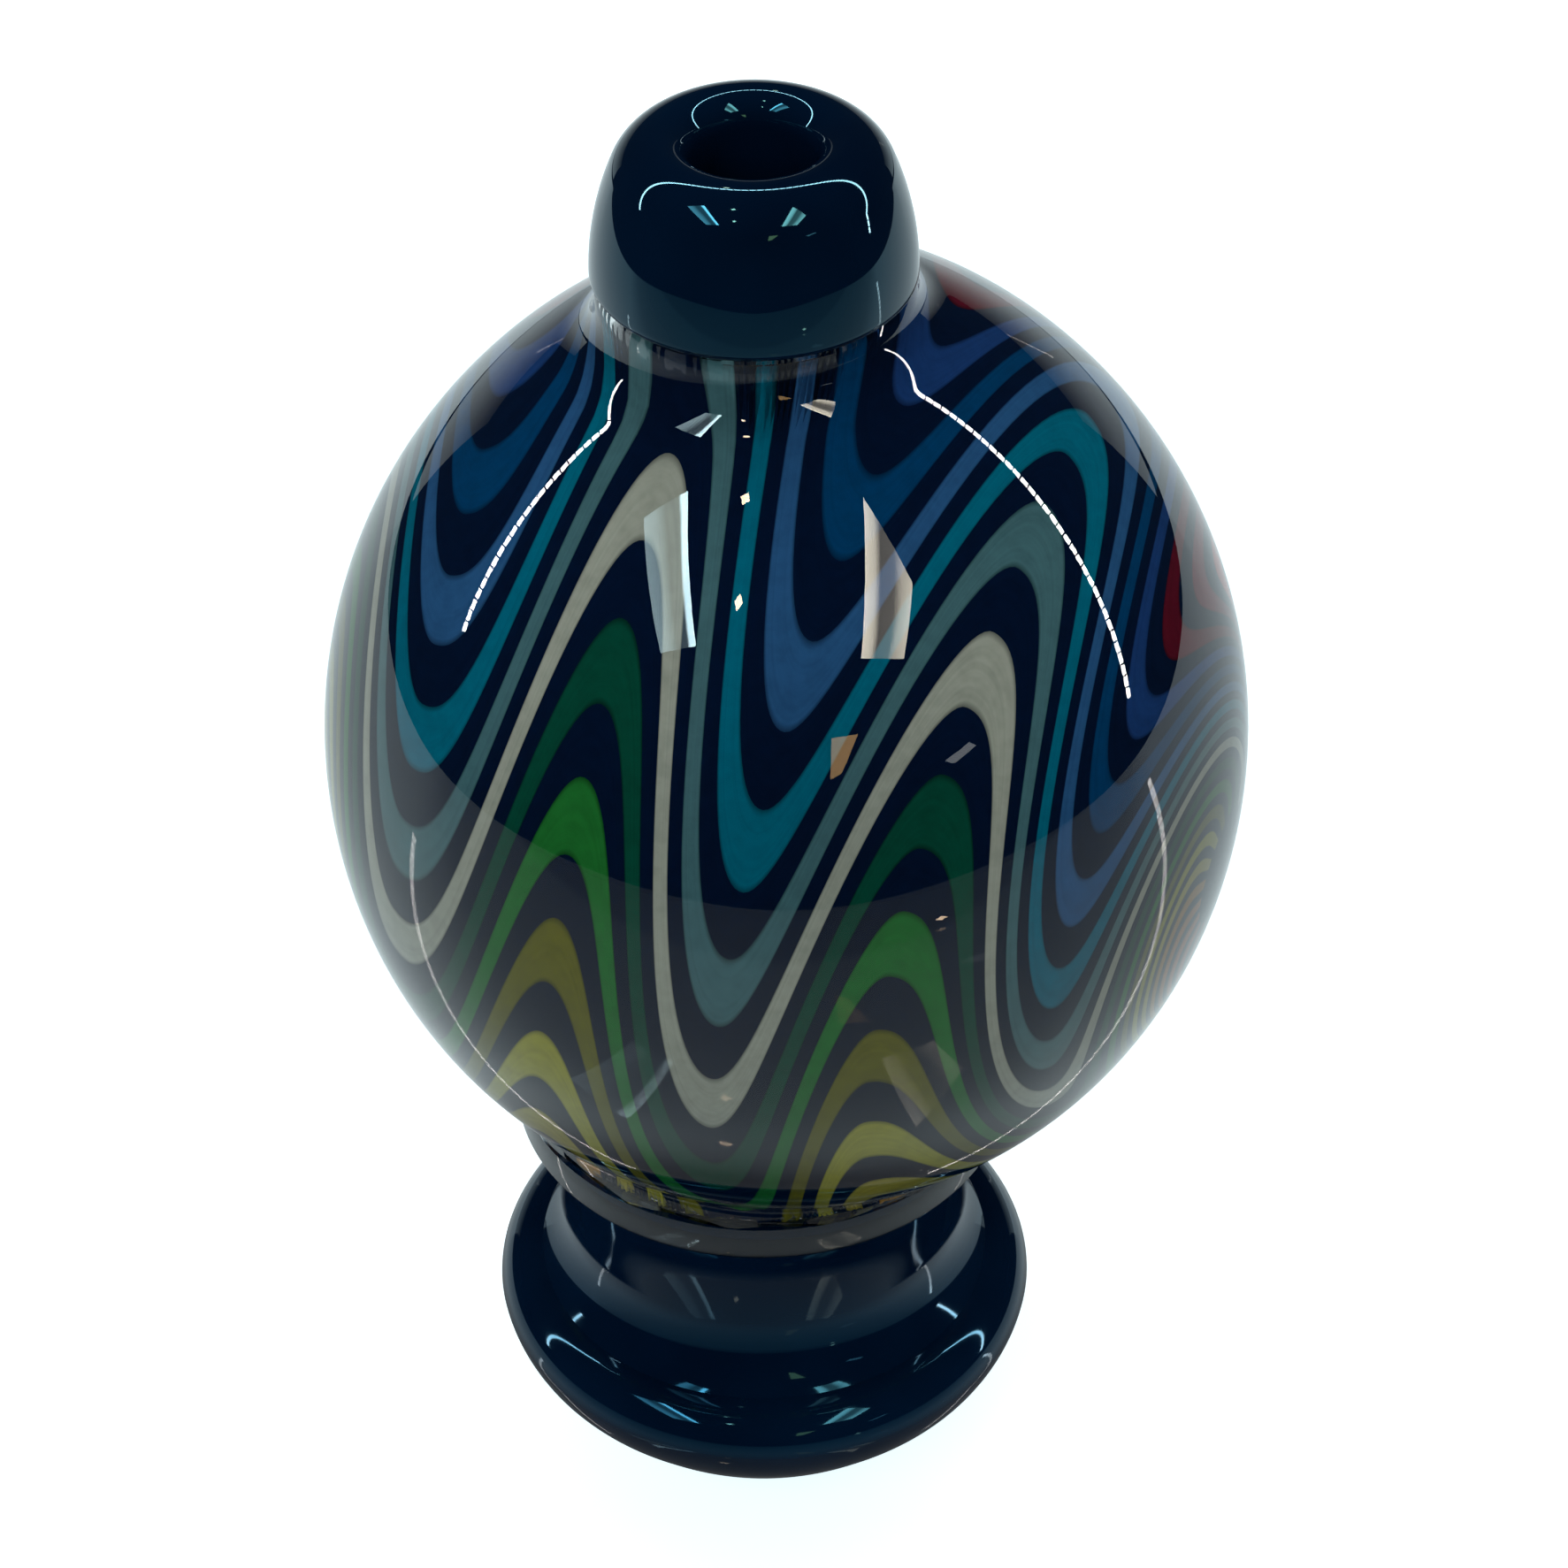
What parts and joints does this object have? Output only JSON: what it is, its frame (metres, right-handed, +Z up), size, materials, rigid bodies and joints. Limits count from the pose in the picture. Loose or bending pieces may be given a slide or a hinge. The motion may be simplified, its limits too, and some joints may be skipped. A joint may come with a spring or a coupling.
{
  "type": "bud vase",
  "caption": "Hand blown art glass bud vase: round body of coloured zigzag canes under a thick clear casing, black glass neck collar with a narrow mouth, and a black glass disc foot.",
  "frame": {"origin": "middle of the flat that the foot stands on, on the common axis of the neck and the foot", "axes": "+Z up along the axis of the neck and the foot; -Y towards the side with the cream zigzag; +X towards the end of the cane axis that leans down and forwards"},
  "size_m": [0.064, 0.064, 0.113],
  "materials": {
    "black_glass": "fire polished, nearly opaque black glass with a navy cast",
    "clear_glass": "fire polished clear glass",
    "cream_glass": "opaque cream glass under the clear casing",
    "sage_glass": "opaque sage glass under the clear casing",
    "teal_glass": "opaque teal glass under the clear casing",
    "periwinkle_glass": "opaque periwinkle glass under the clear casing",
    "cobalt_glass": "opaque cobalt glass under the clear casing",
    "violet_glass": "opaque violet glass under the clear casing",
    "red_glass": "opaque red glass under the clear casing",
    "ruby_glass": "opaque ruby glass under the clear casing",
    "scarlet_glass": "opaque scarlet glass under the clear casing",
    "vermilion_glass": "opaque vermilion glass under the clear casing",
    "orange_glass": "opaque orange glass under the clear casing",
    "tangerine_glass": "opaque tangerine glass under the clear casing",
    "amber_glass": "opaque amber glass under the clear casing",
    "lemon_glass": "opaque lemon glass under the clear casing",
    "yellow_glass": "opaque yellow glass under the clear casing",
    "gold_glass": "opaque gold glass under the clear casing",
    "leaf_green_glass": "opaque leaf green glass under the clear casing",
    "forest_green_glass": "opaque forest green glass under the clear casing"
  },
  "bodies": {
    "root": {"neck_collar": "black_glass", "clear_casing": "clear_glass", "cane_01_black": "black_glass", "cane_01_cream": "cream_glass", "cane_02_black": "black_glass", "cane_02_sage": "sage_glass", "cane_03_black": "black_glass", "cane_03_teal": "teal_glass", "cane_04_black": "black_glass", "cane_04_periwinkle": "periwinkle_glass", "cane_05_black": "black_glass", "cane_05_cobalt": "cobalt_glass", "cane_06_black": "black_glass", "cane_06_violet": "violet_glass", "cane_07_black": "black_glass", "cane_07_red": "red_glass", "cane_08_black": "black_glass", "cane_08_ruby": "ruby_glass", "cane_09_black": "black_glass", "cane_09_scarlet": "scarlet_glass", "cane_10_black": "black_glass", "cane_10_vermilion": "vermilion_glass", "cane_11_black": "black_glass", "cane_11_orange": "orange_glass", "cane_12_black": "black_glass", "cane_12_tangerine": "tangerine_glass", "cane_13_amber": "amber_glass", "cane_13_black": "black_glass", "cane_14_black": "black_glass", "cane_14_lemon": "lemon_glass", "cane_15_black": "black_glass", "cane_15_yellow": "yellow_glass", "cane_16_black": "black_glass", "cane_16_gold": "gold_glass", "cane_17_black": "black_glass", "cane_17_leaf_green": "leaf_green_glass", "cane_18_black": "black_glass", "cane_18_forest_green": "forest_green_glass", "button_left": "black_glass", "button_right": "black_glass", "clear_ring": "clear_glass", "foot_stem": "black_glass", "foot_disc": "black_glass"}
  },
  "joints": []
}
